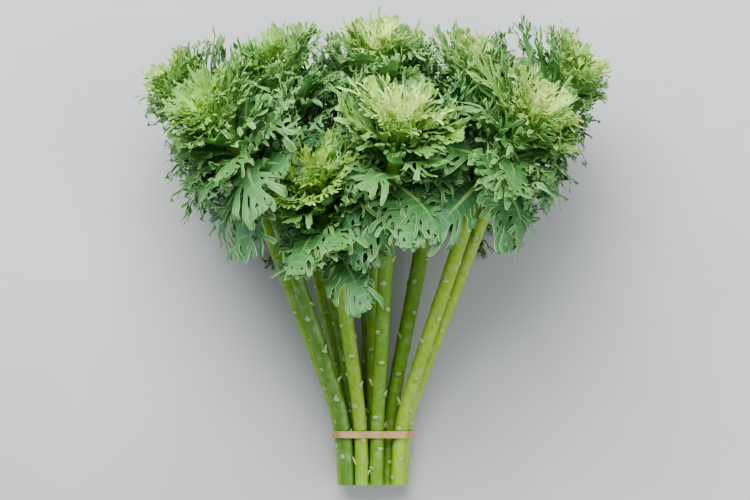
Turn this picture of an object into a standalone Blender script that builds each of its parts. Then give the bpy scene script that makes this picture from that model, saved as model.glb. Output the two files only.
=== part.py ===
"""A bunch of feather-leaved kale lying on a table: twelve stalks in an elastic band.

The stalks lie side by side where the band holds them and fan out towards +Y. Each carries a
rosette of deeply cut leaves and a pale heart. Metres, +Z up, z = 0 is the table.
"""

import math
import random

import bmesh
import bpy
from mathutils import Matrix, Vector

# The stalks
PITCH = 0.0187  # between neighbouring stalks in the band
STALK_RADIUS = 0.0088
STALK_SWELL = 1.06  # how much thicker a stalk is at its top
STALK_RESOLUTION = 2
CUT_END_Y = -0.015
JOINT_GAP = 0.0003

# The fan that the stalks open into
FAN_Y = 0.058
FAN_EASE = 0.020
FAN_SPREAD = 10.2  # growth of the spacing for each metre past FAN_Y
FAN_RISE = 0.385
LEAN = 0.020  # the stalks rise this much a metre before they fan out
PRESSED = 0.0008  # how far the lowest stalks are flattened by the table
FLAT_LENGTH = 0.020  # of the flattened stretch, from the cut ends
TOUCHING = 0.0003  # what is nearer the table than this rests flat on it

# The band
BAND_Y = 0.050
BAND_WIDTH = 0.009
BAND_THICKNESS = 0.0013
BAND_SLACK = 1.08  # the band's reach round a stalk, in stalk radii

# The crown at the top of each stalk, which the leaves grow from
CROWN_RADIUS = 0.0105
CROWN_BEND = 0.016
CROWN_STRAIGHT = 0.070
HEART_CORE_RADIUS = 0.0065
HEART_CORE_HEIGHT = 0.030
NOD = math.radians(15.0)  # outward nod for each pitch that a stalk is from the middle
NOD_UP = 0.15  # what is added to the upward nod, in pitches
NOD_LOWEST = -0.35  # the low heads nod down no further than this, in pitches

# The leaves, each kind from the lowest to the topmost one on the crown. Heights are from the crown's
# top, and angles from its axis, in degrees
TURN = math.radians(137.508)  # from each leaf to the next round the crown
BLADE = 0.0012
ROOT_RADIUS = 0.003
WRAP_RADIUS = 0.028  # nearer the crown than this a leaf keeps its width
OUTER = dict(root=(-0.064, -0.011), length=(0.124, 0.092), start=(74, 30), end=(126, 56),
             half_width=0.36, pairs=3, wave=0.0045)
HEART = dict(root=(0.008, 0.020), length=(0.076, 0.050), start=(20, 4), end=(54, 20),
             half_width=0.32, pairs=2, wave=0.0025)
MIDRIB_STEPS = 24
CURL = 1.3  # above 1, a leaf bends more towards its tip
WAVES_ALONG = 9.0
WAVES_ASIDE = 60.0

# A leaf's outline, in shares of its length and of its half width
BARE_SHARE = 0.27  # the leaf's own stalk, below the first lobes
LOBED_SHARE = 0.63
RIB_SHARE = 0.16
RIB_BULGE = 0.10
LOBE_SHARE = 0.62
LOBE_BULGE = 0.38
LOBE_LEAD = 0.13  # a lobe's tip is this far ahead of its root

# How leaves give way to their neighbours
CELL_GAP = 0.0015
CELL_POWER = 4
CELL_END = 2.88  # the outermost leaves end about this many pitches from the middle, at each side
CELL_FAN = 0.085  # below this far past FAN_Y a leaf's wedge gets no narrower
BEND_UP = 0.55
FLOOR_EASE = 0.003
FLOOR_SNAP = 0.0012
FLOOR_SINK = 0.00005

# Each head: place across the band in pitches (right, up), distance along the bunch, size, number of
# green and of pale leaves, heart colour
HEADS = (
    ((-1.72, 0.80), 0.351, 1.06, 15, 7, "green"),
    ((-0.74, 1.00), 0.268, 1.04, 15, 7, "lime"),
    ((0.28, 0.98), 0.326, 1.10, 15, 7, "cream"),
    ((1.72, 0.84), 0.346, 1.10, 15, 7, "cream"),
    ((-1.98, -0.20), 0.388, 1.06, 12, 6, "lime"),
    ((-0.95, 0.06), 0.392, 1.06, 12, 6, "green"),
    ((0.05, 0.00), 0.400, 1.06, 12, 6, "cream"),
    ((1.02, -0.02), 0.388, 1.06, 12, 6, "cream"),
    ((2.00, -0.10), 0.402, 1.08, 12, 6, "cream"),
    ((-1.25, -1.02), 0.298, 1.00, 10, 5, "green"),
    ((-0.12, -1.00), 0.308, 1.00, 10, 5, "lime"),
    ((1.00, -1.02), 0.298, 1.00, 10, 5, "green"),
)
HEART_COLOURS = {"cream": (0.62, 0.68, 0.27), "lime": (0.40, 0.56, 0.16), "green": (0.25, 0.44, 0.11)}
FACET = math.pi / 8  # half the angle of one of a stalk's eight sides, one of which faces the table
LOWEST = min(place[1] for place, *_ in HEADS)
BAND_LIFT = STALK_RADIUS * math.cos(FACET) - LOWEST * PITCH - PRESSED


def fanned(y):
    """How far y is past the fan's start, easing in smoothly from 0."""
    return FAN_EASE * math.log1p(math.exp((y - FAN_Y) / FAN_EASE))


def spread(y):
    """How many times further apart the stalks are than in the band."""
    return 1.0 + FAN_SPREAD * fanned(y)


def middle(y):
    """The height of the middle of the bunch."""
    return BAND_LIFT + LEAN * (y - CUT_END_Y) + FAN_RISE * fanned(y)


def on_stalk(place, y):
    return Vector((place[0] * PITCH * spread(y), y, middle(y) + place[1] * PITCH * spread(y)))


def between(ends, share):
    return ends[0] + (ends[1] - ends[0]) * share


def crowding(own, towards, head, wide):
    """How near the borders of a head's wedge are in one direction: the larger, the nearer."""
    total = 0.0
    for other, (place, *_) in enumerate(HEADS):
        apart = Vector(place) * PITCH - own
        facing = towards.dot(apart.normalized())
        if other != head and facing > 0:
            total += (facing / (apart.length / 2 - CELL_GAP / wide)) ** CELL_POWER
    room_aside = CELL_END * PITCH - math.copysign(own.x, towards.x * own.x)
    return total + (abs(towards.x) / room_aside) ** CELL_POWER


def above_table(z):
    """Bends what would sink through the table to lie along it."""
    floor = BLADE / 2
    z = floor + FLOOR_EASE * math.log1p(math.exp(min((z - floor) / FLOOR_EASE, 30.0))) \
        + max(z - floor - 30.0 * FLOOR_EASE, 0.0)
    return floor - FLOOR_SINK if z < floor + FLOOR_SNAP else z


def clear_of_neighbours(point, head):
    """Bends a point of a head's leaves up inside the wedge of the fan that is the head's own."""
    own = Vector(HEADS[head][0]) * PITCH
    wide = spread(max(point.y, FAN_Y + CELL_FAN))
    across = Vector((point.x, point.z - middle(point.y))) / wide - own
    reach = across.length
    if reach < 1e-6:
        return point
    towards = across / reach
    kept = (reach ** -CELL_POWER + crowding(own, towards, head, wide)) ** (-1 / CELL_POWER)
    y = point.y + BEND_UP * (reach - kept) * wide
    bent = (own + towards * kept) * spread(y)
    return Vector((bent.x, y, above_table(middle(y) + bent.y)))


class Leaf:
    """One leaf as a patch of a bowl round the crown's axis: each leaf has its own bowl, nested in the last."""

    def __init__(self, kind, share, turn, size, rng):
        self.turn = turn
        self.root = between(kind["root"], share)
        self.length = between(kind["length"], share) * size * rng.uniform(0.94, 1.06)
        start = math.radians(between(kind["start"], share) + rng.uniform(-2, 2))
        end = math.radians(between(kind["end"], share) + rng.uniform(-5, 5))
        self.half_width = kind["half_width"] * self.length * rng.uniform(0.92, 1.08)
        self.pairs = kind["pairs"]
        self.wave = kind["wave"]
        self.phase = rng.uniform(0, math.tau)
        self.line = self.midrib(start, end)

    def midrib(self, start, end):
        """(radius, height, angle from the axis) along the midrib, root to tip."""
        radius, height = ROOT_RADIUS, self.root
        line = []
        for step in range(MIDRIB_STEPS + 1):
            angle = start + (end - start) * (step / MIDRIB_STEPS) ** CURL
            line.append((radius, height, angle))
            radius += math.sin(angle) * self.length / MIDRIB_STEPS
            height += math.cos(angle) * self.length / MIDRIB_STEPS
        return line

    def at(self, along, aside):
        """The point a share along the midrib and a distance aside of it, in the crown's frame."""
        place = min(max(along, 0.0), 1.0) * MIDRIB_STEPS
        index = min(int(place), MIDRIB_STEPS - 1)
        radius, height, angle = (
            between((a, b), place - index) for a, b in zip(self.line[index], self.line[index + 1])
        )
        ripple = math.sin(self.phase + WAVES_ALONG * along + WAVES_ASIDE * aside)
        ripple *= self.wave * aside / self.half_width
        radius -= ripple * math.cos(angle)
        height += ripple * math.sin(angle)
        turn = self.turn + aside / max(radius, WRAP_RADIUS)
        return Vector((radius * math.cos(turn), radius * math.sin(turn), height))


def blade_outline(leaf):
    """A flat leaf as a bmesh: x is the distance aside, y the share along. Lobes are drawn out of the rib's edges."""
    lobe_length = LOBED_SHARE / leaf.pairs
    rows = [0.0] + [BARE_SHARE + lobe_length * row for row in range(leaf.pairs + 1)] + [1.0]
    flat = bmesh.new()
    bmesh.ops.create_grid(flat, x_segments=1, y_segments=len(rows) - 1, size=1.0)
    for vert in flat.verts:
        along = rows[round((vert.co.y + 1) / 2 * (len(rows) - 1))]
        rib = RIB_SHARE + RIB_BULGE * math.sin(math.pi * along)
        vert.co = Vector((math.copysign(rib * leaf.half_width, vert.co.x), along, 0))
    centres = {edge: (edge.verts[0].co.y + edge.verts[1].co.y) / 2 for edge in flat.edges if edge.is_boundary}
    lobed = [edge for edge, centre in centres.items() if rows[1] < centre < rows[-2]]
    for edge in lobed:
        side = math.copysign(1.0, edge.verts[0].co.x)
        fullness = LOBE_SHARE + LOBE_BULGE * math.sin(math.pi * (centres[edge] - rows[1]) / LOBED_SHARE)
        made = bmesh.ops.extrude_edge_only(flat, edges=[edge])["geom"]
        tips = [item for item in made if isinstance(item, bmesh.types.BMVert)]
        tip = Vector((side * fullness * leaf.half_width, centres[edge] + LOBE_LEAD, 0))
        bmesh.ops.pointmerge(flat, verts=tips, merge_co=tip)
    for row in (rows[0], rows[-1]):
        ends = [vert for vert in flat.verts if abs(vert.co.y - row) < 1e-6]
        bmesh.ops.pointmerge(flat, verts=ends, merge_co=Vector((0, row, 0)))
    bmesh.ops.triangulate(flat, faces=flat.faces[:])
    return flat


def crown_frame(head):
    """The crown's straight top part as a matrix: its origin is the top, its Z the axis that the leaves turn round."""
    place, y, *_ = HEADS[head]
    foot = on_stalk(place, y)
    along = (foot - on_stalk(place, y - 0.01)).normalized()
    nod = Vector((place[0], 0, max(place[1], NOD_LOWEST) + NOD_UP))
    axis = (along + nod * math.tan(NOD)).normalized()
    top = foot + along * (JOINT_GAP + CROWN_BEND) + axis * CROWN_STRAIGHT
    return Matrix.Translation(top) @ axis.to_track_quat("Z", "Y").to_matrix().to_4x4(), along


def finish(name, colour, roughness):
    material = bpy.data.materials.new(name)
    material.use_nodes = True
    shader = material.node_tree.nodes["Principled BSDF"]
    shader.inputs["Base Color"].default_value = (*colour, 1.0)
    shader.inputs["Roughness"].default_value = roughness
    shader.inputs["Metallic"].default_value = 0.0
    return material


def new_object(name, mesh, material, collection):
    made = bpy.data.objects.new(name, mesh)
    made.data.materials.clear()
    made.data.materials.append(material)
    collection.objects.link(made)
    return made


def tube(name, points, radius, resolution, material, collection):
    """A closed tube through the points, as a mesh with its caps joined on and one of its sides facing down."""
    curve = bpy.data.curves.new(name, "CURVE")
    curve.dimensions = "3D"
    curve.twist_mode = "Z_UP"
    curve.bevel_depth = 1.0
    curve.bevel_resolution = resolution
    curve.use_fill_caps = True
    spline = curve.splines.new("POLY")
    spline.points.add(len(points) - 1)
    for index, (point, place) in enumerate(zip(spline.points, points)):
        point.co = (*place, 1.0)
        point.radius = radius[index]
        point.tilt = FACET
    guide = bpy.data.objects.new(name + "_guide", curve)
    collection.objects.link(guide)
    bpy.context.view_layer.update()
    mesh = bpy.data.meshes.new_from_object(guide.evaluated_get(bpy.context.evaluated_depsgraph_get()))
    bpy.data.objects.remove(guide)
    shell = bmesh.new()
    shell.from_mesh(mesh)
    bmesh.ops.remove_doubles(shell, verts=shell.verts[:], dist=0.00001)
    shell.to_mesh(mesh)
    shell.free()
    return new_object(name, mesh, material, collection)


def add_leaf(leaf, head, frame, material, collection):
    """One leaf bent into place and given its thickness."""
    flat = blade_outline(leaf)
    for vert in flat.verts:
        vert.co = clear_of_neighbours(frame @ leaf.at(vert.co.y, vert.co.x), head)
    mesh = bpy.data.meshes.new("leaf")
    flat.to_mesh(mesh)
    flat.free()
    made = new_object("leaf", mesh, material, collection)
    thick = made.modifiers.new("Thickness", "SOLIDIFY")
    thick.thickness = BLADE
    thick.offset = 0.0


def with_leaves(core, kind, count, head, frame, rng, material):
    """Grows leaves from the core, turned round its axis in the order they grew, and joins them to it as one solid."""
    leaves = bpy.data.collections.new(core.name + "_leaves")
    bpy.context.scene.collection.children.link(leaves)
    size = HEADS[head][2]
    first = rng.uniform(0, math.tau)
    for number in range(count):
        leaf = Leaf(kind, number / (count - 1), first + number * TURN, size, rng)
        add_leaf(leaf, head, frame, material, leaves)
    union = core.modifiers.new("Leaves", "BOOLEAN")
    union.operation = "UNION"
    union.operand_type = "COLLECTION"
    union.solver = "MANIFOLD"
    union.collection = leaves
    bpy.context.view_layer.update()
    joined = core.evaluated_get(bpy.context.evaluated_depsgraph_get())
    mesh = bpy.data.meshes.new_from_object(joined)
    core.modifiers.clear()
    core.data = mesh
    for leaf in list(leaves.objects):
        bpy.data.objects.remove(leaf)
    bpy.data.collections.remove(leaves)


def press_flat(solid):
    """Flattens what the table presses."""
    for vert in solid.data.vertices:
        if vert.co.z < TOUCHING:
            vert.co.z = 0.0


def make_stalk(head, name, material, collection):
    place, y, *_ = HEADS[head]
    stops = [CUT_END_Y, CUT_END_Y + FLAT_LENGTH, BAND_Y - 0.020, BAND_Y + BAND_WIDTH / 2,
             FAN_Y + 0.035, FAN_Y + 0.11, y]
    points = [on_stalk(place, stop) for stop in stops]
    radius = [STALK_RADIUS] * (len(stops) - 1) + [STALK_RADIUS * STALK_SWELL]
    press_flat(tube(name, points, radius, STALK_RESOLUTION, material, collection))


def make_rosette(head, name, material, collection):
    """The crown with the green leaves that grow from it."""
    place, y, _, leaf_count, *_ = HEADS[head]
    frame, along = crown_frame(head)
    top = frame.translation
    axis = frame.to_3x3() @ Vector((0, 0, 1))
    foot = on_stalk(place, y) + along * JOINT_GAP
    points = [foot, top - axis * CROWN_STRAIGHT, top]
    radius = [CROWN_RADIUS * share for share in (0.9, 1.0, 0.95)]
    crown = tube(name, points, radius, 1, material, collection)
    with_leaves(crown, OUTER, leaf_count, head, frame, random.Random(100 + head), material)
    press_flat(crown)


def make_heart(head, name, material, collection):
    """The pale young leaves on their own short core, just above the crown."""
    frame, _ = crown_frame(head)
    points = [frame @ Vector((0, 0, height)) for height in (JOINT_GAP, HEART_CORE_HEIGHT)]
    radius = [HEART_CORE_RADIUS, HEART_CORE_RADIUS * 0.5]
    core = tube(name, points, radius, 1, material, collection)
    with_leaves(core, HEART, HEADS[head][4], head, frame, random.Random(500 + head), material)


def cross(a, b, c):
    return (b[0] - a[0]) * (c[1] - a[1]) - (b[1] - a[1]) * (c[0] - a[0])


def band_outline(reach, steps=8):
    """The stretched band's line round the stalks, as seen along the bunch: the corners of their outline, rounded."""
    points = set()
    for place, *_ in HEADS:
        centre = on_stalk(place, BAND_Y + BAND_WIDTH / 2)
        for step in range(steps):
            angle = math.tau * (step + 0.5) / steps
            points.add((centre.x + reach * math.cos(angle), centre.z + reach * math.sin(angle)))
    outline = []
    for ordered in (sorted(points), sorted(points, reverse=True)):
        chain = []
        for point in ordered:
            while len(chain) > 1 and cross(chain[-2], chain[-1], point) <= 1e-12:
                chain.pop()
            chain.append(point)
        outline += chain[:-1]
    return outline


def make_band(material, collection):
    """An elastic band stretched round all the stalks."""
    reach = STALK_RADIUS * BAND_SLACK + JOINT_GAP
    ring = bmesh.new()
    verts = [ring.verts.new((x, BAND_Y - BAND_WIDTH / 2, z)) for x, z in band_outline(reach)]
    edges = [ring.edges.new((a, b)) for a, b in zip(verts, verts[1:] + verts[:1])]
    drawn = bmesh.ops.extrude_edge_only(ring, edges=edges)["geom"]
    raised = [item for item in drawn if isinstance(item, bmesh.types.BMVert)]
    bmesh.ops.translate(ring, verts=raised, vec=(0, BAND_WIDTH, 0))
    bmesh.ops.recalc_face_normals(ring, faces=ring.faces[:])
    mesh = bpy.data.meshes.new("band")
    ring.to_mesh(mesh)
    ring.free()
    band = new_object("band", mesh, material, collection)
    thick = band.modifiers.new("Thickness", "SOLIDIFY")
    thick.thickness = BAND_THICKNESS
    thick.offset = 1.0
    thick.use_even_offset = True


def main():
    for old in list(bpy.data.objects):
        bpy.data.objects.remove(old)
    bunch = bpy.data.collections.new("kale_bunch")
    bpy.context.scene.collection.children.link(bunch)
    stalk_green = finish("stalk_green", (0.22, 0.42, 0.07), 0.45)
    leaf_green = finish("leaf_green", (0.07, 0.19, 0.075), 0.6)
    hearts = {name: finish("heart_" + name, colour, 0.6) for name, colour in HEART_COLOURS.items()}
    tan_rubber = finish("tan_rubber", (0.55, 0.36, 0.18), 0.6)
    for head, (*_, heart_colour) in enumerate(HEADS):
        number = f"{head + 1:02d}"
        make_stalk(head, "stalk_" + number, stalk_green, bunch)
        make_rosette(head, "rosette_" + number, leaf_green, bunch)
        make_heart(head, "heart_" + number, hearts[heart_colour], bunch)
    make_band(tan_rubber, bunch)


main()
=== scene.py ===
"""The looks of a bunch of feather-leaved kale that lies on a table, tied with an elastic band.

Each head is a crown with green cut leaves and a pale frilly heart, on a stalk with leaf scars.
Metres, +Z up, z = 0 is the table.
"""

import math
import random

import bmesh
import bpy
import numpy as np
from mathutils import Matrix, Vector


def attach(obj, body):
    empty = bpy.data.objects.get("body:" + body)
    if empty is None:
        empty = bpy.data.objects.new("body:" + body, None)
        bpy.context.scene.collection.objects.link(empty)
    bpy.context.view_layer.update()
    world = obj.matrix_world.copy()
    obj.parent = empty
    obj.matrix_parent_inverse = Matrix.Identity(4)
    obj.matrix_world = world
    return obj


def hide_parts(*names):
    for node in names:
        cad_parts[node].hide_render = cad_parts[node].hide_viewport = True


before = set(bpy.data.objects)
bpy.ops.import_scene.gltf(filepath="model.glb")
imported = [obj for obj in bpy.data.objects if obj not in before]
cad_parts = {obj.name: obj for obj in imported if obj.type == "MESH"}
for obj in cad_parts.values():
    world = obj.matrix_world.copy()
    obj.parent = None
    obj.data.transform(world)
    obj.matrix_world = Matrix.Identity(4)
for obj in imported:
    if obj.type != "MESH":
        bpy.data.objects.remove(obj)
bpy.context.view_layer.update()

# The stalks and the fan that they open into
PITCH = 0.0187
STALK_RADIUS = 0.0088
STALK_SWELL = 1.06
CUT_END_Y = -0.015
JOINT_GAP = 0.0003
FAN_Y = 0.058
FAN_EASE = 0.020
FAN_SPREAD = 10.2
FAN_RISE = 0.385
LEAN = 0.020
PRESSED = 0.0008
FACET = math.pi / 8

# The band
BAND_Y = 0.050
BAND_WIDTH = 0.009
BAND_THICKNESS = 0.0013
BAND_SLACK = 1.08
BAND_STEPS = 24
BAND_ROUND = 0.0004

# The crowns, the cores of their hearts, and how they nod
CROWN_RADIUS = 0.0105
CROWN_BEND = 0.016
CROWN_STRAIGHT = 0.070
CROWN_GIRTHS = (0.9, 0.94, 1.0, 0.98, 0.9)
CROWN_SIDES = 12
CORE_HEIGHTS = (JOINT_GAP, 0.015, 0.030)
CORE_RADII = (0.0065, 0.005, 0.003)
NOD = math.radians(15.0)
NOD_UP = 0.15
NOD_LOWEST = -0.35

# The leaves, each kind from its lowest to its topmost one. Heights are from the crown's top, angles from
# its axis in degrees, half widths in leaf lengths. Leaves with a fan angle stand that far apart on the side
# that faces up, the others a golden angle apart
TURN = math.radians(137.508)
ROOT_RADIUS = 0.003
WRAP_RADIUS = 0.028
MIDRIB_STEPS = 24
CURL = 1.3
WAVES_ALONG = 9.0
WAVES_ASIDE = 60.0
FRILL_POWER = 1.2
FRILL_WIDEST = 1.3
FRILL_LONG = 330
FRILL_SHORT = 620
FRILL_ASIDE = 80
FRILL_SIDES = 1.7
OUTER = dict(root=(-0.064, -0.011), length=(0.122, 0.091), start=(74, 30), end=(126, 56),
             half_width=0.38, wave=0.0045, frill=0.0050, age=(0.0, 0.45))
SKIRT = dict(root=(-0.066, -0.026), length=(0.118, 0.112), start=(84, 56), end=(136, 100),
             half_width=0.36, wave=0.0060, frill=0.0062, age=(0.0, 0.22))
MIDDLE = dict(root=(-0.014, 0.006), length=(0.091, 0.072), start=(36, 16), end=(70, 40),
              half_width=0.38, wave=0.0032, frill=0.0038, age=(0.34, 0.62))
WINGS = dict(root=(0.003, 0.003), length=(0.102, 0.102), start=(46, 46), end=(84, 84), fan=math.radians(152),
             half_width=0.34, wave=0.0020, frill=0.0022, age=(0.58, 0.62))
RAYS = dict(root=(0.000, 0.004), length=(0.074, 0.070), start=(38, 32), end=(64, 54), fan=math.radians(25),
            half_width=0.30, wave=0.0012, frill=0.0018, age=(0.68, 0.72))
HEART = dict(root=(0.008, 0.020), length=(0.074, 0.050), start=(34, 10), end=(60, 26),
             half_width=0.38, wave=0.0022, frill=0.0032, age=(0.66, 0.86))
BUD = dict(root=(0.012, 0.026), length=(0.046, 0.028), start=(26, 2), end=(60, 14),
           half_width=0.38, wave=0.0018, frill=0.0028, age=(0.84, 1.0))

# The fine stalks, their leaf scars and the stubs of torn leaves
STALK_SIDES = 26
STALK_ROWS = 124
STALK_SKIN = 0.985
SWELL_START = 0.3
FIRST_SCAR = (0.010, 0.022)
SCAR_STEP = (0.009, 0.019)
LAST_SCAR = 0.006
SCAR_HEIGHT = 0.0030
SCAR_WIDTH = 0.0048
SCAR_RISE = 0.0010
KNOT_RISE = 0.0003
CUT_RINGS = ((0.0012, 0.0002), (0.0022, -0.0004))
STUB_SHARE = 0.55
STUB_SIDES = 7
STUB_LOWEST = 0.006
STUB_ROOT = 0.0012
STUB_OUT = 0.0022
STUB_LENGTH = (0.003, 0.010)
STUB_RADII = (0.0023, 0.0017, 0.0007)
STUB_SCARS = (0.35, 0.5, 1.0)
STUB_TONE = 0.6

# How leaves give way to their neighbours: how far they reach past the middle between two heads, how square
# a head's wedge is, where the fan ends in pitches, where the wedge stops narrowing past the fan's start, and
# the share of the lost reach that turns up along the bunch. Then the lowest height, and how softly it holds
CELL_OVERLAP = 0.0230
CELL_POWER = 4
CELL_END = 3.00
CELL_FAN = 0.085
BEND_UP = 0.40
FLOOR = 0.0006
FLOOR_EASE = 0.003

# Each head: place across the band in pitches (right, up), distance along the bunch, size, number of
# green and of pale leaves, heart colour. Then how many more green leaves, inner ones and low ones it has, by
# the row that it is in, and the numbers for single kinds of leaf
HEADS = (
    ((-1.72, 0.80), 0.351, 1.06, 15, 7, "green"),
    ((-0.74, 1.00), 0.268, 1.04, 15, 7, "lime"),
    ((0.28, 0.98), 0.326, 1.10, 15, 7, "cream"),
    ((1.72, 0.84), 0.346, 1.10, 15, 7, "cream"),
    ((-1.98, -0.20), 0.388, 1.06, 12, 6, "lime"),
    ((-0.95, 0.06), 0.392, 1.06, 12, 6, "green"),
    ((0.05, 0.00), 0.400, 1.06, 12, 6, "cream"),
    ((1.02, -0.02), 0.388, 1.06, 12, 6, "cream"),
    ((2.00, -0.10), 0.402, 1.08, 12, 6, "cream"),
    ((-1.25, -1.02), 0.298, 1.00, 10, 5, "green"),
    ((-0.12, -1.00), 0.308, 1.00, 10, 5, "lime"),
    ((1.00, -1.02), 0.298, 1.00, 10, 5, "green"),
)
ROW_LEAVES = {"front": (0, 10, 9), "middle": (4, 10, 8), "lowest": (0, 8, 5)}
RAYED_INNER = 6
MORE_PALE = 3
BUD_LEAVES = 7
RAY_LEAVES = 7
WING_LEAVES = 2
LOWEST = min(place[1] for place, *_ in HEADS)
BAND_LIFT = STALK_RADIUS * math.cos(FACET) - LOWEST * PITCH - PRESSED

# Leaf shapes in leaf lengths: the bare stalk, pairs of lobes, half widths of the rib and of the uncut
# blade (as a share of the leaf's), strips of blade beside the rib, width of a finger, forks of a lobe, its
# angle from the midrib at the base and at the tip in degrees, how much it curls, how much its tips swell
SHAPES = {
    "comb": dict(bare=0.18, pairs=9, rib=0.024, blade=0.24, strips=1, finger=0.038, forks=0,
                 sweep=(66, 30), lift=0.05, swell=1.15),
    "antler": dict(bare=0.20, pairs=5, rib=0.026, blade=0.20, strips=1, finger=0.045, forks=1,
                   sweep=(60, 26), lift=0.06, swell=1.2),
    "feather": dict(bare=0.16, pairs=7, rib=0.024, blade=0.32, strips=1, finger=0.036, forks=1,
                    sweep=(64, 28), lift=0.07, swell=1.1),
    "broad": dict(bare=0.14, pairs=9, rib=0.015, blade=0.36, strips=2, finger=0.034, forks=1,
                  sweep=(68, 32), lift=0.12, swell=1.1),
    "spoon": dict(bare=0.22, pairs=5, rib=0.026, blade=0.20, strips=1, finger=0.048, forks=0,
                  sweep=(52, 24), lift=0.05, swell=1.45),
    "frill": dict(bare=0.12, pairs=7, rib=0.038, blade=0.38, strips=1, finger=0.030, forks=1,
                  sweep=(58, 24), lift=0.12, swell=1.1),
    "curl": dict(bare=0.10, pairs=5, rib=0.046, blade=0.28, strips=1, finger=0.036, forks=1,
                 sweep=(54, 22), lift=0.14, swell=1.1),
    "ray": dict(bare=0.38, pairs=4, rib=0.052, blade=0.24, strips=1, finger=0.038, forks=1,
                sweep=(46, 20), lift=0.06, swell=1.1),
}

# All shapes: the rows on the bare stalk and the start of the blade as shares of it, where the lobes end, the
# share of the way to the next lobe that a lobe's root takes, the tip, half the leaf's width, how much the rib
# tapers, its foot in rib widths, how far the blade slants towards the tip, and the shortest lobe
BARE_ROWS = (0.0, 0.4, 0.8)
BLADE_START = 0.7
LOBES_END = 0.95
LOBE_ROOT = 0.62
TIP = 0.96
LEAF_HALF = 0.36
RIB_TAPER = 0.72
RIB_FOOT = 1.35
SLANT = 0.35
SHORTEST_LOBE = 0.03

# Lobes: the steps of a forked lobe's stem and of a tip, as shares of its length, and how wide they end. Then
# the numbers of tines that a fork may have, their length, and the length and the fan of the topmost lobes
STEM_STEPS = ((0.25, 1.0), (0.25, 1.6))
TIP_STEPS = ((0.36, 1.0), (0.34, 1.08), (0.20, 0.95), (0.10, 0.52))
TINES = (2, 2, 3)
TINE_LENGTH = 0.5
TOP_LOBE = 0.10
TOP_FAN = 1.02

# The width of a leaf's pale margin, its thickness and how far its rib bulges, in leaf lengths
MARGIN = 0.0065
LEAF_THICKNESS = 0.0056
RIB_BULGE = 0.011

# The angles past which an edge stays sharp
LEAF_CREASE = math.radians(75)
STALK_CREASE = math.radians(50)

# Colours: leaf tissue from the lowest leaves (0) to the topmost (1), ribs and edges, stalks by their tone,
# and the dark tone of the crowns' cores, which is painted shade
GREEN_AGES = (
    (0.0, (0.085, 0.235, 0.100)),
    (0.35, (0.145, 0.350, 0.095)),
    (0.60, (0.265, 0.470, 0.095)),
    (0.80, (0.44, 0.63, 0.14)),
)
GREEN_RIB = (0.48, 0.66, 0.24)
GREEN_EDGE = (0.40, 0.62, 0.25)
HEART_AGES = {
    "cream": ((0.65, (0.36, 0.58, 0.12)), (0.80, (0.58, 0.76, 0.19)), (1.0, (0.84, 0.88, 0.32))),
    "lime": ((0.65, (0.25, 0.50, 0.09)), (0.80, (0.40, 0.64, 0.11)), (1.0, (0.64, 0.80, 0.17))),
    "green": ((0.65, (0.18, 0.42, 0.09)), (0.80, (0.29, 0.55, 0.09)), (1.0, (0.48, 0.71, 0.12))),
}
HEART_RIBS = {"cream": (0.80, 0.86, 0.44), "lime": (0.74, 0.83, 0.36), "green": (0.58, 0.75, 0.26)}
HEART_EDGES = {"cream": (0.78, 0.86, 0.40), "lime": (0.62, 0.79, 0.27), "green": (0.46, 0.70, 0.18)}
STALK_TONES = ((0.0, (0.13, 0.27, 0.030)), (0.5, (0.27, 0.46, 0.040)), (1.0, (0.39, 0.56, 0.055)))
CORE_PAINTED_SHADE_TONE = 0.2
STALK_TONE_STEP = 0.618

# The stage: each lamp's name, place, size and power. Then where the lamps and the camera aim, the camera's
# distance and tilt, the height of what it sees there, and the picture's width over its height
LAMPS = (("key", (-0.3, 1.6, 1.9), 1.8, 92.0), ("fill", (1.6, -0.8, 1.6), 2.0, 20.0))
AIM = Vector((0.003, 0.283, 0.12))
CAMERA_DISTANCE = 2.6
CAMERA_TILT = math.radians(86.0)
VIEW_HEIGHT = 0.630
PICTURE = 750 / 500


def fanned(y):
    """How far y is past the fan's start, easing in smoothly from 0."""
    return FAN_EASE * np.log1p(np.exp((y - FAN_Y) / FAN_EASE))


def spread(y):
    """How many times further apart the stalks are than in the band."""
    return 1.0 + FAN_SPREAD * fanned(y)


def middle(y):
    """The height of the middle of the bunch."""
    return BAND_LIFT + LEAN * (y - CUT_END_Y) + FAN_RISE * fanned(y)


def on_stalk(place, y):
    """A point on the middle line of a stalk."""
    return Vector((place[0] * PITCH * spread(y), y, middle(y) + place[1] * PITCH * spread(y)))


def between(ends, share):
    return ends[0] + (ends[1] - ends[0]) * share


def above_table(z):
    """Bends what would sink through the table to lie along it."""
    over = (z - FLOOR) / FLOOR_EASE
    return FLOOR + FLOOR_EASE * np.where(over > 30.0, over, np.log1p(np.exp(np.minimum(over, 30.0))))


def crowding(own, towards, head, wide):
    """How near the borders of a head's wedge are in each direction: the larger, the nearer."""
    total = np.zeros(len(towards))
    for other, (place, *_) in enumerate(HEADS):
        if other == head:
            continue
        apart = np.array(place) * PITCH - own
        distance = np.linalg.norm(apart)
        facing = np.maximum(towards @ (apart / distance), 0.0)
        total += (facing / (distance / 2 + CELL_OVERLAP / wide)) ** CELL_POWER
    room_aside = CELL_END * PITCH - np.sign(towards[:, 0] * own[0]) * abs(own[0])
    return total + (np.abs(towards[:, 0]) / room_aside) ** CELL_POWER


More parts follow.
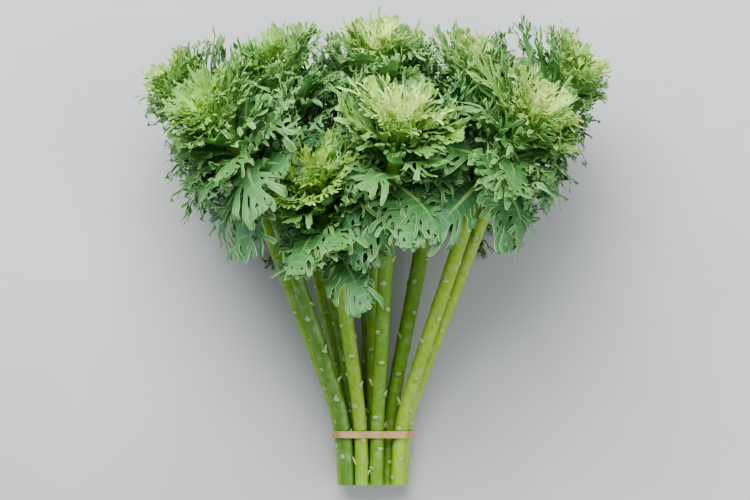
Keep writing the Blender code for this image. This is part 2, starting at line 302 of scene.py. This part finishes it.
def clear_of_neighbours(points, head):
    """Bends the points of a head's leaves up inside the wedge of the fan that is the head's own."""
    own = np.array(HEADS[head][0]) * PITCH
    wide = spread(np.maximum(points[:, 1], FAN_Y + CELL_FAN))
    across = np.stack((points[:, 0], points[:, 2] - middle(points[:, 1])), axis=1) / wide[:, None] - own
    reach = np.linalg.norm(across, axis=1) + 1e-7
    towards = across / reach[:, None]
    kept = (reach ** -CELL_POWER + crowding(own, towards, head, wide)) ** (-1 / CELL_POWER)
    y = points[:, 1] + BEND_UP * (reach - kept) * wide
    bent = (own + towards * kept[:, None]) * spread(y)[:, None]
    return np.stack((bent[:, 0], y, above_table(middle(y) + bent[:, 1])), axis=1)


def crown_frame(head):
    """The crown's top as a matrix, whose Z is the axis of its leaves, and the direction of its stalk."""
    place, y, *_ = HEADS[head]
    foot = on_stalk(place, y)
    along = (foot - on_stalk(place, y - 0.01)).normalized()
    nod = Vector((place[0], 0, max(place[1], NOD_LOWEST) + NOD_UP))
    axis = (along + nod * math.tan(NOD)).normalized()
    top = foot + along * (JOINT_GAP + CROWN_BEND) + axis * CROWN_STRAIGHT
    return Matrix.Translation(top) @ axis.to_track_quat("Z", "Y").to_matrix().to_4x4(), along


class Leaf:
    """One leaf's bowl-shaped surface round the crown's axis, and the frill of its edges."""

    def __init__(self, kind, share, turn, size, rng):
        self.turn = turn
        self.length = between(kind["length"], share) * size * rng.uniform(0.94, 1.06)
        start = math.radians(between(kind["start"], share) + rng.uniform(-2, 2))
        end = math.radians(between(kind["end"], share) + rng.uniform(-5, 5))
        self.half_width = kind["half_width"] * self.length * rng.uniform(0.92, 1.08)
        self.wave = kind["wave"]
        self.phase = rng.uniform(0, math.tau)
        self.frill = kind["frill"]
        self.age = between(kind["age"], share)
        radius, height = ROOT_RADIUS, between(kind["root"], share)
        line = []
        for step in range(MIDRIB_STEPS + 1):
            angle = start + (end - start) * (step / MIDRIB_STEPS) ** CURL
            line.append((radius, height, angle))
            radius += math.sin(angle) * self.length / MIDRIB_STEPS
            height += math.cos(angle) * self.length / MIDRIB_STEPS
        self.line = np.array(line)

    def at(self, along, aside):
        """Points in the crown's frame: a share along the midrib and a distance aside of it."""
        inside = np.clip(along, 0.0, 1.0)
        stops = np.arange(MIDRIB_STEPS + 1) / MIDRIB_STEPS
        radius, height, angle = (np.interp(inside, stops, column) for column in self.line.T)
        beyond = (along - inside) * self.length
        swing = np.sin(self.phase + WAVES_ALONG * along + WAVES_ASIDE * aside)
        ripple = swing * self.wave * aside / self.half_width
        radius = radius + np.sin(angle) * beyond - ripple * np.cos(angle)
        height = height + np.cos(angle) * beyond + ripple * np.sin(angle)
        turn = self.turn + aside / np.maximum(radius, WRAP_RADIUS)
        return np.stack((radius * np.cos(turn), radius * np.sin(turn), height), axis=1)

    def frilled(self, along, aside):
        """How far the blade stands off its bowl: little at the midrib, most at the edges."""
        edge = np.minimum(np.abs(aside) / self.half_width, FRILL_WIDEST) ** FRILL_POWER
        side = np.sign(aside) * FRILL_SIDES
        run = along * self.length
        long_waves = np.sin(self.phase * 3 + FRILL_LONG * run + side)
        short_waves = np.sin(self.phase * 5 + FRILL_SHORT * run - 2 * side + FRILL_ASIDE * aside)
        return self.frill * edge * (long_waves + 0.5 * short_waves)


def draw_out(flat, left, right):
    """Draws the edge between two vertices out of a flat leaf and returns the new pair."""
    made = bmesh.ops.extrude_edge_only(flat, edges=[flat.edges.get((left, right))])["geom"]
    new = {item for item in made if isinstance(item, bmesh.types.BMVert)}
    pair = []
    for old in (left, right):
        pair.append(next(edge.other_vert(old) for edge in old.link_edges if edge.other_vert(old) in new))
    return pair


def turned(heading, angle):
    return Matrix.Rotation(angle, 3, "Z") @ heading


def grow_lobe(flat, left, right, heading, bend, length, width, lift, forks, look, rng):
    """Draws a curving lobe out of the edge between two vertices, down to its forks and round tips."""
    beat = flat.verts.layers.float["beat"]
    rib = flat.verts.layers.float["rib"]
    steps = STEM_STEPS if forks else TIP_STEPS
    here = (left.co + right.co) / 2
    number = math.floor((left[beat] + right[beat]) / 2)
    ways = (left[beat] - number, right[beat] - number)
    for share, wide in steps:
        run = length * share
        heading = turned(heading, bend * share)
        here = here + heading * run + Vector((0, 0, lift * run))
        lift += math.copysign(look["lift"], lift) * 2 * share
        left, right = draw_out(flat, left, right)
        swell = 1.0 if forks or share == TIP_STEPS[0][0] else look["swell"]
        reach = width * wide * swell
        across = Vector((heading.y, -heading.x, 0)) * reach / 2
        left.co = here - across
        right.co = here + across
        left[beat], right[beat] = number + ways[0], number + ways[1]
        left[rib] = right[rib] = 0.0
    if forks == 0:
        return
    tines = rng.choice(TINES)
    roots = [left]
    for cut in range(1, tines):
        edge = flat.edges.get((roots[-1], right))
        roots.append(bmesh.utils.edge_split(edge, roots[-1], 1 / (tines - cut + 1))[1])
    roots.append(right)
    for index, vert in enumerate(roots):
        vert[beat] = number + between(ways, index / tines)
    for tine in range(tines):
        way = 1 - 2 * tine / (tines - 1)
        reach = length * TINE_LENGTH * rng.uniform(0.8, 1.25)
        aim = turned(heading, way * rng.uniform(0.35, 0.6))
        grow_lobe(flat, roots[tine], roots[tine + 1], aim, bend * 0.6, reach, width * 0.9,
                  lift * rng.uniform(0.3, 1.2), forks - 1, look, rng)


def rows_of(look):
    """The places along the midrib where the outline changes: on the bare stalk, and at each lobe's root."""
    pitch = (LOBES_END - look["bare"]) / look["pairs"]
    rows = [look["bare"] * share for share in BARE_ROWS]
    for pair in range(look["pairs"]):
        rows += [look["bare"] + pitch * pair, look["bare"] + pitch * (pair + LOBE_ROOT)]
    return rows + [TIP]


def leaf_shape(name, look, rng):
    """A leaf laid flat, as a closed thin mesh: x is aside and y along the midrib, in leaf lengths."""
    flat = bmesh.new()
    rib_layer = flat.verts.layers.float.new("rib")
    beat = flat.verts.layers.float.new("beat")
    margin_layer = flat.verts.layers.float.new("margin")
    rows = rows_of(look)
    last = 2 + look["strips"]
    start = look["bare"] * BLADE_START
    bmesh.ops.create_grid(flat, x_segments=2 * last, y_segments=len(rows) - 1, size=1.0)
    corner = {}
    for vert in flat.verts:
        row = round((vert.co.y + 1) / 2 * (len(rows) - 1))
        column = round(vert.co.x * last)
        along = rows[row]
        lobed = min(max((along - start) / (1 - start), 0.0), 1.0)
        rib = look["rib"] * (1 - RIB_TAPER * along)
        uncut = look["blade"] * LEAF_HALF * math.sin(math.pi * lobed ** 0.8) ** 0.7
        blade = rib * 1.5 + uncut * rng.uniform(0.85, 1.1)
        if abs(column) < 3:
            aside = (0.0, rib, rib * RIB_FOOT)[abs(column)]
        else:
            aside = between((rib * RIB_FOOT, blade), (abs(column) - 2) / look["strips"])
        aside *= 1 if column > 0 else -1
        vert.co = Vector((aside, along + SLANT * max(abs(aside) - rib, 0.0), 0))
        vert[rib_layer] = (1.0, 0.8, 0.0)[min(abs(column), 2)] * min(1.9 * (1 - along), 1.0)
        vert[beat] = (row - len(BARE_ROWS)) / 2 + (0.2 if row % 2 else 0.3)
        corner[column, row] = vert
    for pair in range(look["pairs"]):
        share = pair / (look["pairs"] - 1)
        reach = LEAF_HALF * math.sin(math.pi * (0.16 + 0.72 * share)) ** 0.75
        for side in (-1, 1):
            root = len(BARE_ROWS) + 2 * pair
            low, high = corner[last * side, root], corner[last * side, root + 1]
            sweep = math.radians(between(look["sweep"], share) + rng.uniform(-6, 6))
            heading = Vector((side * math.sin(sweep), math.cos(sweep), 0))
            length = max(reach - abs(low.co.x), SHORTEST_LOBE) / math.sin(sweep) * rng.uniform(0.85, 1.12)
            ends = (high, low) if side > 0 else (low, high)
            lift = rng.choice((-1, 1)) * rng.uniform(0.3, 1.0) * look["lift"] * 4
            bend = side * rng.uniform(0.25, 0.6)
            grow_lobe(flat, *ends, heading, bend, length, look["finger"], lift, look["forks"], look, rng)
    top = len(rows) - 1
    forks = max(look["forks"] - 1, 0)
    for column in range(-last, last):
        ends = corner[column, top], corner[column + 1, top]
        heading = turned(Vector((0, 1, 0)), -(column + 0.5) * TOP_FAN / last)
        length = TOP_LOBE * rng.uniform(0.8, 1.2)
        lift = rng.uniform(-1, 1) * look["lift"] * 3
        grow_lobe(flat, *ends, heading, 0.0, length, look["finger"], lift, forks, look, rng)
    return thickened(name, flat, rib_layer, margin_layer)


def thickened(name, flat, rib_layer, margin_layer):
    """Gives a flat leaf its pale margin, its thickness and the bulge of its rib, and closes it."""
    bmesh.ops.inset_region(flat, faces=flat.faces[:], thickness=MARGIN, use_boundary=True)
    for vert in flat.verts:
        vert[margin_layer] = 1.0 if vert.is_boundary else 0.0
    lower = set(flat.verts)
    bmesh.ops.extrude_face_region(flat, geom=flat.faces[:], use_keep_orig=True)
    for vert in flat.verts:
        half = LEAF_THICKNESS / 2 * (1 - 0.5 * vert[margin_layer])
        half += RIB_BULGE * vert[rib_layer] * (1 - 0.8 * vert.co.y) / 2
        vert.co.z += -half if vert in lower else half
    bmesh.ops.recalc_face_normals(flat, faces=flat.faces[:])
    shape = bpy.data.meshes.new(name)
    flat.to_mesh(shape)
    flat.free()
    return shape


def placed(co, leaf, head, crown):
    """Bends a flat leaf's points onto its bowl and into its head's wedge."""
    aside, along, raised = co[:, 0] * leaf.length, co[:, 1], co[:, 2] * leaf.length
    turn, shift = np.array(crown.to_3x3()), np.array(crown.translation)

    def surface(along, aside):
        return clear_of_neighbours(leaf.at(along, aside) @ turn.T + shift, head)

    point = surface(along, aside)
    ahead = surface(along + 0.01, aside) - point
    right = surface(along, aside + 0.001) - point
    normal = np.cross(right, ahead)
    normal /= np.linalg.norm(normal, axis=1)[:, None] + 1e-12
    point = point + normal * (raised + leaf.frilled(along, aside))[:, None]
    point[:, 2] = above_table(point[:, 2])
    return point


def new_piece(name, shell, *materials):
    """Makes an object of a bmesh, with its materials, on the one body."""
    mesh = bpy.data.meshes.new(name)
    shell.to_mesh(mesh)
    shell.free()
    for material in materials:
        mesh.materials.append(material)
    piece = bpy.data.objects.new(name, mesh)
    bpy.context.scene.collection.objects.link(piece)
    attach(piece, "root")
    return piece


def set_attribute(mesh, name, values):
    layer = mesh.attributes.get(name) or mesh.attributes.new(name, "FLOAT", "POINT")
    layer.data.foreach_set("value", values)


def edges_within(ring):
    """The edges between two of the given vertices."""
    return list({edge for vert in ring for edge in vert.link_edges if edge.other_vert(vert) in ring})


def add_bar(shell, points, radii, sides):
    """Adds a closed round bar through the points to a bmesh and returns its vertices, ring by ring."""
    aims = [(b - a).normalized() for a, b in zip(points, points[1:])]
    aims.append(aims[-1])
    frames = []
    for point, aim, radius in zip(points, aims, radii):
        turn = aim.to_track_quat("Z", "Y").to_matrix().to_4x4()
        frames.append(Matrix.Translation(point) @ turn @ Matrix.Scale(radius, 4))
    ring = bmesh.ops.create_circle(shell, cap_ends=True, segments=sides, radius=1.0)["verts"]
    bmesh.ops.transform(shell, matrix=frames[0], verts=ring)
    rings = [ring]
    for last, place in zip(frames, frames[1:]):
        made = bmesh.ops.extrude_edge_only(shell, edges=edges_within(ring))["geom"]
        ring = [item for item in made if isinstance(item, bmesh.types.BMVert)]
        bmesh.ops.transform(shell, matrix=place @ last.inverted(), verts=ring)
        rings.append(ring)
    bmesh.ops.contextual_create(shell, geom=edges_within(ring))
    return rings


def facing_up(crown):
    """The turn round the crown's axis of a leaf on the side that faces up."""
    return math.atan2(crown[2][1], crown[2][0])


def foliage(name, sets, head, crown, material, core):
    """Makes one piece of all the leaves of the given sets, on a core."""
    shell = bmesh.new()
    leaves = []
    for kind, count, shapes, rng in sets:
        first, step = rng.uniform(0, math.tau), TURN
        if "fan" in kind:
            step = kind["fan"]
            first = facing_up(crown) - step * (count - 1) / 2
        drawn = []
        for number in range(count):
            drawn.append(Leaf(kind, number / (count - 1), first + number * step, HEADS[head][2], rng))
        for leaf in drawn:
            shape = SHAPE_MESHES[rng.choice(shapes)]
            shell.from_mesh(shape)
            leaves.append((leaf, len(shape.vertices), rng.random()))
    points, radii = core
    grown = len(shell.faces)
    add_bar(shell, points, radii, CROWN_SIDES)
    shell.faces.ensure_lookup_table()
    for face in shell.faces[grown:]:
        face.material_index = 1
    piece = new_piece(name, shell, material, stalk_green)
    mesh = piece.data
    co = np.empty(len(mesh.vertices) * 3)
    mesh.vertices.foreach_get("co", co)
    co = co.reshape(-1, 3)
    age = np.full(len(co), leaves[0][0].age)
    # The core bars take a dark stalk tone: painted shade for where the leaves shadow them
    tone = np.full(len(co), CORE_PAINTED_SHADE_TONE)
    start = 0
    for leaf, size, shade in leaves:
        block = slice(start, start + size)
        co[block] = placed(co[block], leaf, head, crown)
        age[block] = leaf.age
        tone[block] = shade
        start += size
    mesh.vertices.foreach_set("co", co.ravel())
    set_attribute(mesh, "age", age)
    set_attribute(mesh, "tone", tone)
    mesh.shade_smooth()
    mesh.set_sharp_from_angle(angle=LEAF_CREASE)
    mesh.update()
    return piece


def row_of(place):
    """Which of the three rows a head is in: the front one faces the camera."""
    if place[1] > 0.5:
        return "front"
    return "middle" if place[1] > -0.5 else "lowest"


def make_head(head):
    """A head's two pieces: the crown with its green leaves, and the pale heart."""
    number = f"{head + 1:02d}"
    place, y, _, green, pale, colour = HEADS[head]
    crown, along = crown_frame(head)
    axis = crown.to_3x3() @ Vector((0, 0, 1))
    top = crown.translation
    foot = on_stalk(place, y) + along * JOINT_GAP
    bend = foot + along * CROWN_BEND * 0.5
    trunk = [foot, bend, top - axis * CROWN_STRAIGHT, top - axis * CROWN_STRAIGHT * 0.5, top]
    girth = [CROWN_RADIUS * share for share in CROWN_GIRTHS]
    row = row_of(place)
    more, inner, low = ROW_LEAVES[row]
    rayed = row == "front" and colour == "lime"
    if rayed:
        inner = RAYED_INNER
    sets = [
        (OUTER, green + more, ("feather", "antler", "broad", "comb"), random.Random(100 + head)),
        (MIDDLE, inner, ("feather", "comb", "antler", "frill"), random.Random(300 + head)),
        (SKIRT, low, ("broad", "feather", "spoon", "comb"), random.Random(400 + head)),
    ]
    if row == "front" and colour == "cream":
        sets.append((WINGS, WING_LEAVES, ("comb",), random.Random(800 + head)))
    leaves = foliage("kale_leaves_" + number, sets, head, crown, leaf_green, (trunk, girth))
    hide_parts("rosette_" + number)
    core = [crown @ Vector((0, 0, height)) for height in CORE_HEIGHTS]
    sets = [
        (HEART, pale + MORE_PALE, ("frill", "frill", "curl", "comb"), random.Random(500 + head)),
        (BUD, BUD_LEAVES, ("curl", "frill"), random.Random(700 + head)),
    ]
    if rayed:
        sets.append((RAYS, RAY_LEAVES, ("ray",), random.Random(800 + head)))
    heart = foliage("kale_heart_" + number, sets, head, crown, heart_finish[colour], (core, CORE_RADII))
    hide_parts("heart_" + number)


def wrapped(angle):
    """The same angle, no more than half a turn either way."""
    return (angle + math.pi) % math.tau - math.pi


def make_stalk(head):
    """A stalk with its leaf scars, a few torn leaf bases and its pale cut end."""
    number = f"{head + 1:02d}"
    place, top_y, *_ = HEADS[head]
    rng = random.Random(900 + head)
    shell = bmesh.new()
    scar_layer = shell.verts.layers.float.new("scar")
    pith = shell.verts.layers.float.new("pith")
    tone = shell.verts.layers.float.new("tone")
    bmesh.ops.create_grid(shell, x_segments=STALK_SIDES, y_segments=STALK_ROWS, size=1.0)
    scars = []
    y, way = CUT_END_Y + rng.uniform(*FIRST_SCAR), rng.uniform(0, math.tau)
    while y < top_y - LAST_SCAR:
        scars.append((y, wrapped(way), rng.uniform(0.7, 1.2)))
        y += rng.uniform(*SCAR_STEP)
        way += TURN
    for vert in shell.verts:
        share, angle = (vert.co.y + 1) / 2, math.pi * vert.co.x
        y = CUT_END_Y + (top_y - CUT_END_Y) * share
        swollen = max(share - SWELL_START, 0) / (1 - SWELL_START)
        radius = STALK_RADIUS * (1 + (STALK_SWELL - 1) * swollen) * STALK_SKIN
        for scar_y, scar_way, size in scars:
            ahead = (y - scar_y) / SCAR_HEIGHT
            if abs(ahead) < 4:
                aside = wrapped(angle - scar_way) * STALK_RADIUS / SCAR_WIDTH
                knot = KNOT_RISE * math.exp(-(ahead / 2) ** 2)
                radius += size * (SCAR_RISE * math.exp(-ahead ** 2 - aside ** 2) + knot)
                scarred = math.exp(-((ahead * 1.3) ** 2 + (aside * 1.1) ** 2) ** 2)
                vert[scar_layer] = max(vert[scar_layer], scarred)
        vert.co = on_stalk(place, y) + Vector((math.sin(angle) * radius, 0, -math.cos(angle) * radius))
        vert[tone] = (head * STALK_TONE_STEP) % 1.0
    bmesh.ops.remove_doubles(shell, verts=shell.verts[:], dist=0.00001)
    for cap in bmesh.ops.holes_fill(shell, edges=shell.edges[:], sides=0)["faces"]:
        for thickness, depth in CUT_RINGS:
            bmesh.ops.inset_region(shell, faces=[cap], thickness=thickness, depth=depth)
        for edge in {edge for vert in cap.verts for edge in vert.link_edges}:
            for vert in edge.verts:
                vert[pith] = 1.0
    for scar_y, scar_way, size in scars:
        if rng.random() < STUB_SHARE:
            add_stub(shell, place, scar_y, scar_way, size, rng)
    bmesh.ops.recalc_face_normals(shell, faces=shell.faces[:])
    for vert in shell.verts:
        vert.co.z = max(vert.co.z, 0.0)
    stalk = new_piece("kale_stalk_" + number, shell, stalk_green)
    stalk.data.shade_smooth()
    stalk.data.set_sharp_from_angle(angle=STALK_CREASE)
    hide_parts("stalk_" + number)


def add_stub(shell, place, y, way, size, rng):
    """The torn base of a leaf that was stripped from the stalk."""
    out = Vector((math.sin(way), 0, -math.cos(way)))
    rise = Vector((0, 1, 0))
    foot = on_stalk(place, y) + out * (STALK_RADIUS - STUB_ROOT)
    if foot.z < STUB_LOWEST:
        return
    long = rng.uniform(*STUB_LENGTH) * size
    bend = rng.uniform(0.4, 1.0)
    elbow = foot + out * STUB_OUT + rise * long * 0.25
    tip = foot + out * (STUB_OUT + long * 0.35) + rise * long * bend
    rings = add_bar(shell, [foot, elbow, tip], [radius * size for radius in STUB_RADII], STUB_SIDES)
    scar_layer = shell.verts.layers.float["scar"]
    tone = shell.verts.layers.float["tone"]
    for ring, value in zip(rings, STUB_SCARS):
        for vert in ring:
            vert[scar_layer] = value
            vert[tone] = STUB_TONE


def cross(a, b, c):
    """Above 0 where c lies to the left of the line from a to b."""
    return (b[0] - a[0]) * (c[1] - a[1]) - (b[1] - a[1]) * (c[0] - a[0])


def band_outline(reach, steps):
    """The stretched band's line round the stalks, as seen along the bunch."""
    points = set()
    for place, *_ in HEADS:
        centre = on_stalk(place, BAND_Y + BAND_WIDTH / 2)
        for step in range(steps):
            angle = math.tau * (step + 0.5) / steps
            points.add((centre.x + reach * math.cos(angle), centre.z + reach * math.sin(angle)))
    outline = []
    for ordered in (sorted(points), sorted(points, reverse=True)):
        chain = []
        for point in ordered:
            while len(chain) > 1 and cross(chain[-2], chain[-1], point) <= 1e-12:
                chain.pop()
            chain.append(point)
        outline += chain[:-1]
    return outline


def make_band():
    """The elastic band that holds the stalks."""
    reach = STALK_RADIUS * BAND_SLACK + JOINT_GAP
    ring = bmesh.new()
    verts = [ring.verts.new((x, BAND_Y - BAND_WIDTH / 2, z)) for x, z in band_outline(reach, BAND_STEPS)]
    edges = [ring.edges.new((a, b)) for a, b in zip(verts, verts[1:] + verts[:1])]
    drawn = bmesh.ops.extrude_edge_only(ring, edges=edges)["geom"]
    raised = [item for item in drawn if isinstance(item, bmesh.types.BMVert)]
    bmesh.ops.translate(ring, verts=raised, vec=(0, BAND_WIDTH, 0))
    bmesh.ops.recalc_face_normals(ring, faces=ring.faces[:])
    band = new_piece("elastic_band", ring, tan_rubber)
    thick = band.modifiers.new("Thickness", "SOLIDIFY")
    thick.thickness = BAND_THICKNESS
    thick.offset = 1.0
    thick.use_even_offset = True
    soft = band.modifiers.new("Soft edges", "BEVEL")
    soft.width = BAND_ROUND
    soft.segments = 2
    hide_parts("band")


class Finish:
    """A procedural material: short names for the few kinds of node that the finishes are built from."""

    def __init__(self, name, roughness):
        self.material = bpy.data.materials.new(name)
        self.material.use_nodes = True
        self.tree = self.material.node_tree
        self.shader = self.tree.nodes["Principled BSDF"]
        self.shader.inputs["Roughness"].default_value = roughness
        self.place = self.tree.nodes.new("ShaderNodeTexCoord").outputs["Object"]

    def attribute(self, name):
        node = self.tree.nodes.new("ShaderNodeAttribute")
        node.attribute_name = name
        return node.outputs["Fac"]

    def noise(self, scale):
        node = self.tree.nodes.new("ShaderNodeTexNoise")
        node.inputs["Scale"].default_value = scale
        node.inputs["Detail"].default_value = 3.0
        self.tree.links.new(self.place, node.inputs["Vector"])
        return node.outputs["Fac"]

    def streaks(self, scale):
        """Noise drawn out along the bunch."""
        node = self.tree.nodes.new("ShaderNodeTexNoise")
        node.inputs["Scale"].default_value = scale
        turn = self.tree.nodes.new("ShaderNodeMapping")
        turn.inputs["Scale"].default_value = (1.0, 0.06, 1.0)
        self.tree.links.new(self.place, turn.inputs["Vector"])
        self.tree.links.new(turn.outputs["Vector"], node.inputs["Vector"])
        return node.outputs["Fac"]

    def remap(self, value, low, high, to_low=0.0, to_high=1.0):
        node = self.tree.nodes.new("ShaderNodeMapRange")
        self.tree.links.new(value, node.inputs["Value"])
        ends = {"From Min": low, "From Max": high, "To Min": to_low, "To Max": to_high}
        for socket, number in ends.items():
            node.inputs[socket].default_value = number
        return node.outputs["Result"]

    def math(self, operation, a, b=0.5):
        node = self.tree.nodes.new("ShaderNodeMath")
        node.operation = operation
        for index, value in enumerate((a, b)):
            if isinstance(value, (int, float)):
                node.inputs[index].default_value = value
            else:
                self.tree.links.new(value, node.inputs[index])
        return node.outputs["Value"]

    def ramp(self, value, *stops):
        node = self.tree.nodes.new("ShaderNodeValToRGB")
        self.tree.links.new(value, node.inputs["Fac"])
        elements = node.color_ramp.elements
        while len(elements) < len(stops):
            elements.new(0.5)
        for element, (position, colour) in zip(elements, stops):
            element.position = position
            element.color = (*colour, 1.0)
        return node.outputs["Color"]

    def mix(self, factor, a, b, blend="MIX"):
        node = self.tree.nodes.new("ShaderNodeMix")
        node.data_type = "RGBA"
        node.blend_type = blend
        for socket, value in ((node.inputs[0], factor), (node.inputs[6], a), (node.inputs[7], b)):
            if isinstance(value, (int, float)):
                socket.default_value = value
            elif isinstance(value, tuple):
                socket.default_value = (*value, 1.0)
            else:
                self.tree.links.new(value, socket)
        return node.outputs[2]

    def colour(self, socket):
        self.tree.links.new(socket, self.shader.inputs["Base Color"])

    def roughness(self, socket):
        self.tree.links.new(socket, self.shader.inputs["Roughness"])

    def bump(self, height, strength, distance):
        node = self.tree.nodes.new("ShaderNodeBump")
        node.inputs["Strength"].default_value = strength
        node.inputs["Distance"].default_value = distance
        self.tree.links.new(height, node.inputs["Height"])
        self.tree.links.new(node.outputs["Normal"], self.shader.inputs["Normal"])


def leaf_finish(name, stops, rib, edge):
    """Leaf tissue: its colour by age, paler ribs and margins, side veins, mottling."""
    made = Finish(name, 0.55)
    made.shader.inputs["Specular IOR Level"].default_value = 0.35
    blade = made.ramp(made.attribute("age"), *stops)
    mottled = made.mix(made.remap(made.noise(45.0), 0.35, 0.65), blade, (0.78, 0.84, 0.76), "MULTIPLY")
    shade = made.remap(made.attribute("tone"), 0.0, 1.0, 0.0, 0.45)
    toned = made.mix(shade, mottled, (0.55, 0.66, 0.62), "MULTIPLY")
    beat = made.math("FRACT", made.attribute("beat"))
    vein = made.remap(made.math("ABSOLUTE", made.math("SUBTRACT", beat, 0.5)), 0.02, 0.12, 1.0, 0.0)
    veined = made.mix(made.math("MULTIPLY", vein, 0.16), toned, rib)
    margin = made.remap(made.attribute("margin"), 0.1, 0.9, 0.0, 0.75)
    lined = made.mix(margin, veined, edge)
    ribbed = made.mix(made.remap(made.attribute("rib"), 0.35, 0.95, 0.0, 0.75), lined, rib)
    made.colour(ribbed)
    made.roughness(made.remap(made.noise(180.0), 0.3, 0.7, 0.45, 0.68))
    made.bump(made.math("ADD", made.noise(600.0), vein), 0.25, 0.0006)
    return made.material


def stalk_finish():
    """Waxy green skin with lengthwise streaks, a faint bloom, pale scars and a pale cut end."""
    made = Finish("stalk_green", 0.42)
    skin = made.ramp(made.attribute("tone"), *STALK_TONES)
    streak = made.remap(made.streaks(240.0), 0.40, 0.62, 0.0, 0.55)
    streaked = made.mix(streak, skin, (0.60, 0.74, 0.50), "MULTIPLY")
    cloud = made.remap(made.noise(22.0), 0.35, 0.70, 0.0, 0.45)
    cloudy = made.mix(cloud, streaked, (0.62, 0.70, 0.55), "MULTIPLY")
    bloom = made.remap(made.noise(70.0), 0.50, 0.75, 0.0, 0.35)
    bloomed = made.mix(bloom, cloudy, (0.42, 0.56, 0.34))
    scar = made.attribute("scar")
    outside = made.remap(scar, 0.02, 0.12, 0.0, 0.5)
    inside = made.remap(scar, 0.18, 0.40, 1.0, 0.0)
    rim = made.math("MULTIPLY", outside, inside)
    rimmed = made.mix(rim, bloomed, (0.40, 0.46, 0.30), "MULTIPLY")
    scarred = made.mix(made.remap(scar, 0.25, 0.75, 0.0, 0.85), rimmed, (0.47, 0.60, 0.30))
    torn = made.mix(made.remap(scar, 0.92, 1.0, 0.0, 0.7), scarred, (0.42, 0.36, 0.20))
    made.colour(made.mix(made.attribute("pith"), torn, (0.60, 0.68, 0.42)))
    made.roughness(made.remap(made.noise(90.0), 0.3, 0.7, 0.32, 0.55))
    made.bump(made.streaks(420.0), 0.25, 0.0004)
    return made.material


def rubber_finish():
    """Dull tan rubber."""
    made = Finish("tan_rubber", 0.6)
    made.colour(made.ramp(made.noise(60.0), (0.3, (0.42, 0.25, 0.11)), (0.7, (0.62, 0.42, 0.22))))
    made.bump(made.noise(900.0), 0.2, 0.0003)
    return made.material


def make_stage():
    """The pale table and the soft light."""
    floor = bmesh.new()
    bmesh.ops.create_grid(floor, x_segments=1, y_segments=1, size=6.0)
    mesh = bpy.data.meshes.new("table")
    floor.to_mesh(mesh)
    floor.free()
    pale = Finish("pale_table", 0.8)
    pale.colour(pale.ramp(pale.noise(3.0), (0.3, (0.50, 0.50, 0.51)), (0.7, (0.55, 0.55, 0.55))))
    mesh.materials.append(pale.material)
    table = bpy.data.objects.new("table", mesh)
    bpy.context.scene.collection.objects.link(table)
    world = bpy.data.worlds.new("studio")
    world.use_nodes = True
    world.node_tree.nodes["Background"].inputs["Color"].default_value = (0.80, 0.86, 0.92, 1.0)
    world.node_tree.nodes["Background"].inputs["Strength"].default_value = 0.56
    bpy.context.scene.world = world
    for name, place, size, power in LAMPS:
        lamp = bpy.data.lights.new(name, "AREA")
        lamp.size = size
        lamp.energy = power
        light = bpy.data.objects.new(name, lamp)
        light.location = place
        light.rotation_euler = (Vector(place) - AIM).to_track_quat("Z", "Y").to_euler()
        bpy.context.scene.collection.objects.link(light)


def make_camera():
    """The camera that looks down on the bunch, and how its picture is toned."""
    bpy.context.scene.view_settings.view_transform = "AgX"
    bpy.context.scene.view_settings.look = "AgX - Medium High Contrast"
    lens = bpy.data.cameras.new("camera")
    lens.sensor_width = 36.0
    lens.lens = lens.sensor_width * CAMERA_DISTANCE / (VIEW_HEIGHT * PICTURE)
    camera = bpy.data.objects.new("camera", lens)
    away = Vector((0.0, -math.cos(CAMERA_TILT), math.sin(CAMERA_TILT)))
    camera.location = AIM + away * CAMERA_DISTANCE
    camera.rotation_euler = (math.pi / 2 - CAMERA_TILT, 0.0, 0.0)
    bpy.context.scene.collection.objects.link(camera)
    bpy.context.scene.camera = camera


shape_rng = random.Random(7)
SHAPE_MESHES = {name: leaf_shape(name, look, shape_rng) for name, look in SHAPES.items()}

leaf_green = leaf_finish("leaf_green", GREEN_AGES, GREEN_RIB, GREEN_EDGE)
heart_finish = {}
for colour, stops in HEART_AGES.items():
    heart_finish[colour] = leaf_finish("heart_" + colour, stops, HEART_RIBS[colour], HEART_EDGES[colour])
stalk_green = stalk_finish()
tan_rubber = rubber_finish()

make_stage()
make_camera()
for head in range(len(HEADS)):
    make_head(head)
    make_stalk(head)
make_band()
